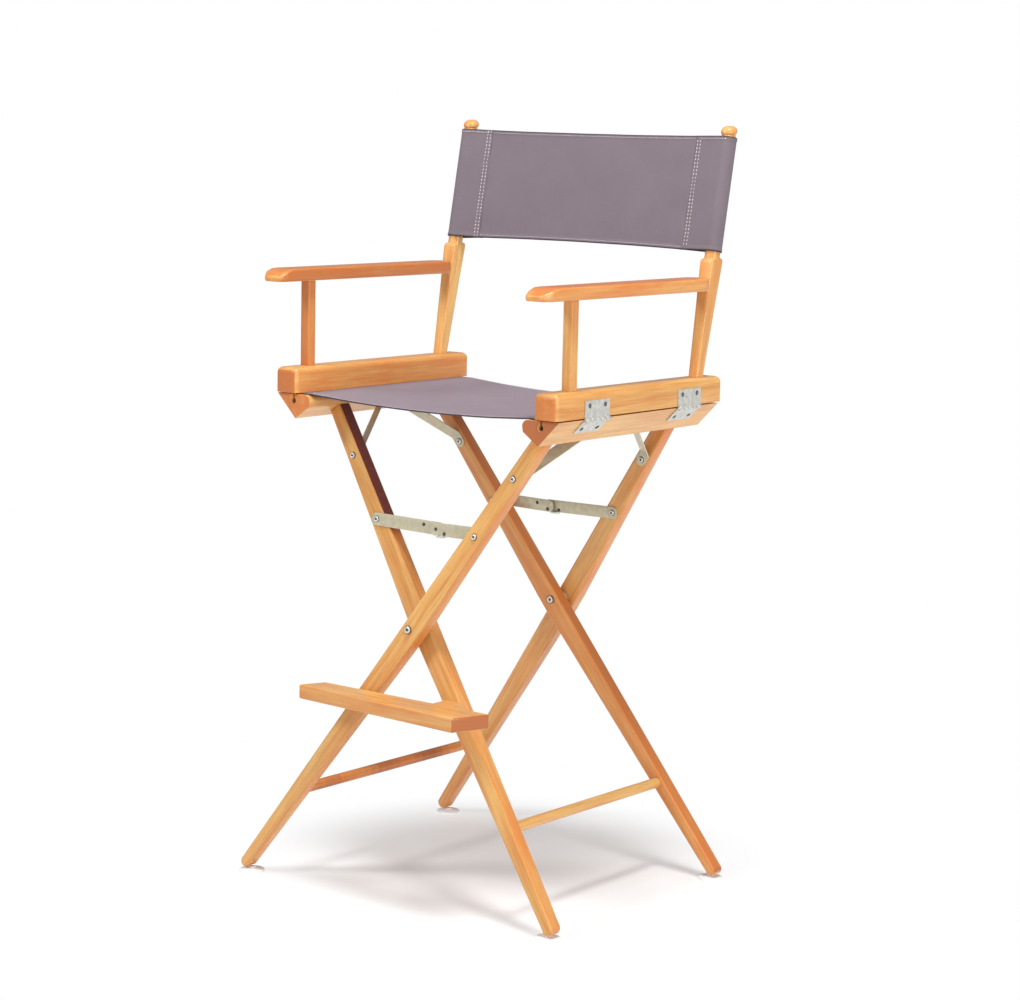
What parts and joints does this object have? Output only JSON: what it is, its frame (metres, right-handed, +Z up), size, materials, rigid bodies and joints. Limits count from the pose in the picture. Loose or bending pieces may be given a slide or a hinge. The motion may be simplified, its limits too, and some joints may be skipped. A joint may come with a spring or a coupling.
{
  "type": "folding director chair",
  "caption": "Tall folding director chair with crossed leg frames, hinged arm assemblies, footrest, and a cloth seat and back.",
  "frame": {"origin": "on the floor under the middle of the object's box", "axes": "+Z up, the chair faces -Y, +X to the sitter's left"},
  "size_m": [0.59, 0.5305, 1.1535],
  "materials": {
    "wood": "satin clear lacquered beech",
    "canvas": "plain woven cotton duck, matt",
    "brace_steel": "yellowish zinc plated strip",
    "hinge_steel": "bright galvanised",
    "fastener_steel": "zinc plated",
    "glide_plastic": "smooth moulded"
  },
  "bodies": {
    "pivots": {"pivot_bolt_front": "fastener_steel", "pivot_bolt_rear": "fastener_steel", "pivot_spacer_front": "fastener_steel", "pivot_spacer_rear": "fastener_steel"},
    "outer_frame": {"leg_outer_front": "wood", "leg_outer_rear": "wood", "stretcher_outer": "wood", "lower_rail_right": "wood", "seat_rod_right": "wood", "footrest_board": "wood", "footrest_spacer": "wood", "hinge_lower_right_front": "hinge_steel", "hinge_lower_right_rear": "hinge_steel", "corner_brace_outer_front": "brace_steel", "corner_brace_outer_rear": "brace_steel", "brace_bolt_outer_front": "fastener_steel", "brace_bolt_outer_rear": "fastener_steel", "lock_bolt_outer_front": "fastener_steel", "lock_bolt_outer_rear": "fastener_steel"},
    "inner_frame": {"leg_inner_front": "wood", "leg_inner_rear": "wood", "stretcher_inner": "wood", "lower_rail_left": "wood", "seat_rod_left": "wood", "hinge_lower_left_front": "hinge_steel", "hinge_lower_left_rear": "hinge_steel", "corner_brace_inner_front": "brace_steel", "corner_brace_inner_rear": "brace_steel", "brace_bolt_inner_front": "fastener_steel", "brace_bolt_inner_rear": "fastener_steel", "lock_bolt_inner_front": "fastener_steel", "lock_bolt_inner_rear": "fastener_steel"},
    "right_arm": {"upper_rail_right": "wood", "front_post_right": "wood", "back_post_right": "wood", "armrest_right": "wood", "hinge_upper_right_front": "hinge_steel", "hinge_upper_right_rear": "hinge_steel", "hinge_pin_right_front": "hinge_steel", "hinge_pin_right_rear": "hinge_steel"},
    "left_arm": {"upper_rail_left": "wood", "front_post_left": "wood", "back_post_left": "wood", "armrest_left": "wood", "hinge_upper_left_front": "hinge_steel", "hinge_upper_left_rear": "hinge_steel", "hinge_pin_left_front": "hinge_steel", "hinge_pin_left_rear": "hinge_steel"},
    "seat_sling": {"seat_cloth": "canvas"},
    "back_sling": {"back_cloth": "canvas"},
    "lock_outer_front": {"lock_link_outer_front": "brace_steel"},
    "lock_inner_front": {"lock_link_inner_front": "brace_steel"},
    "lock_inner_rear": {"lock_link_inner_rear": "brace_steel"},
    "lock_outer_rear": {"lock_link_outer_rear": "brace_steel"},
    "glide_outer_front_body": {"glide_outer_front": "glide_plastic"},
    "glide_inner_front_body": {"glide_inner_front": "glide_plastic"},
    "glide_inner_rear_body": {"glide_inner_rear": "glide_plastic"},
    "glide_outer_rear_body": {"glide_outer_rear": "glide_plastic"}
  },
  "joints": [
    {"name": "outer_fold", "type": "hinge", "parent": "pivots", "child": "outer_frame", "pos_m": [0, 0.00721, 0.411], "axis": [0, -1, 0], "range_deg": [0, 30]},
    {"name": "inner_fold", "type": "hinge", "parent": "pivots", "child": "inner_frame", "pos_m": [0, 0.00721, 0.411], "axis": [0, 1, 0], "range_deg": [0, 30]},
    {"name": "right_arm_hinge", "type": "hinge", "parent": "outer_frame", "child": "right_arm", "pos_m": [0.2706, 0.00721, 0.739], "axis": [0, 1, 0], "range_deg": [0, 30]},
    {"name": "left_arm_hinge", "type": "hinge", "parent": "inner_frame", "child": "left_arm", "pos_m": [-0.2706, 0.00721, 0.739], "axis": [0, -1, 0], "range_deg": [0, 30]},
    {"name": "lock_outer_front_hinge", "type": "hinge", "parent": "outer_frame", "child": "lock_outer_front", "pos_m": [0.1058, -0.15059, 0.559], "axis": [0, 0.9923, -0.124], "range_deg": [0, 113]},
    {"name": "lock_inner_front_hinge", "type": "hinge", "parent": "inner_frame", "child": "lock_inner_front", "pos_m": [-0.1058, -0.14339, 0.559], "axis": [0, -0.9923, 0.124], "range_deg": [0, 113]},
    {"name": "lock_inner_rear_hinge", "type": "hinge", "parent": "inner_frame", "child": "lock_inner_rear", "pos_m": [-0.1058, 0.15781, 0.559], "axis": [0, -0.9923, -0.124], "range_deg": [0, 113]},
    {"name": "lock_outer_rear_hinge", "type": "hinge", "parent": "outer_frame", "child": "lock_outer_rear", "pos_m": [0.1058, 0.16501, 0.559], "axis": [0, 0.9923, 0.124], "range_deg": [0, 113]},
    {"name": "glide_outer_front_swivel", "type": "hinge", "parent": "outer_frame", "child": "glide_outer_front_body", "pos_m": [-0.28155, -0.23036, 0.016], "axis": [0, 1, 0], "range_deg": [0, 30]},
    {"name": "glide_inner_front_swivel", "type": "hinge", "parent": "inner_frame", "child": "glide_inner_front_body", "pos_m": [0.28155, -0.19936, 0.016], "axis": [0, -1, 0], "range_deg": [0, 30]},
    {"name": "glide_inner_rear_swivel", "type": "hinge", "parent": "inner_frame", "child": "glide_inner_rear_body", "pos_m": [0.28155, 0.21379, 0.016], "axis": [0, -1, 0], "range_deg": [0, 30]},
    {"name": "glide_outer_rear_swivel", "type": "hinge", "parent": "outer_frame", "child": "glide_outer_rear_body", "pos_m": [-0.28155, 0.24479, 0.016], "axis": [0, 1, 0], "range_deg": [0, 30]},
    {"name": "seat_rise", "type": "slide", "parent": "pivots", "child": "seat_sling", "axis": [0, 0, 1], "range_m": [0, 0.066], "deforming": ["seat_cloth"]},
    {"name": "back_rise", "type": "slide", "parent": "pivots", "child": "back_sling", "axis": [0, 0, 1], "range_m": [0, 0.091], "deforming": ["back_cloth"]}
  ],
  "couplings": [
    {"joint": "inner_fold", "follows": "outer_fold", "ratio": 1},
    {"joint": "right_arm_hinge", "follows": "outer_fold", "ratio": 1},
    {"joint": "left_arm_hinge", "follows": "outer_fold", "ratio": 1},
    {"joint": "lock_outer_front_hinge", "follows": "outer_fold", "ratio": 3.7665},
    {"joint": "lock_inner_front_hinge", "follows": "outer_fold", "ratio": 3.7665},
    {"joint": "lock_inner_rear_hinge", "follows": "outer_fold", "ratio": 3.7665},
    {"joint": "lock_outer_rear_hinge", "follows": "outer_fold", "ratio": 3.7665},
    {"joint": "glide_outer_front_swivel", "follows": "outer_fold", "ratio": 1},
    {"joint": "glide_inner_front_swivel", "follows": "outer_fold", "ratio": 1},
    {"joint": "glide_inner_rear_swivel", "follows": "outer_fold", "ratio": 1},
    {"joint": "glide_outer_rear_swivel", "follows": "outer_fold", "ratio": 1},
    {"joint": "seat_rise", "follows": "outer_fold", "m_per_rad": 0.126},
    {"joint": "back_rise", "follows": "outer_fold", "m_per_rad": 0.1737}
  ]
}
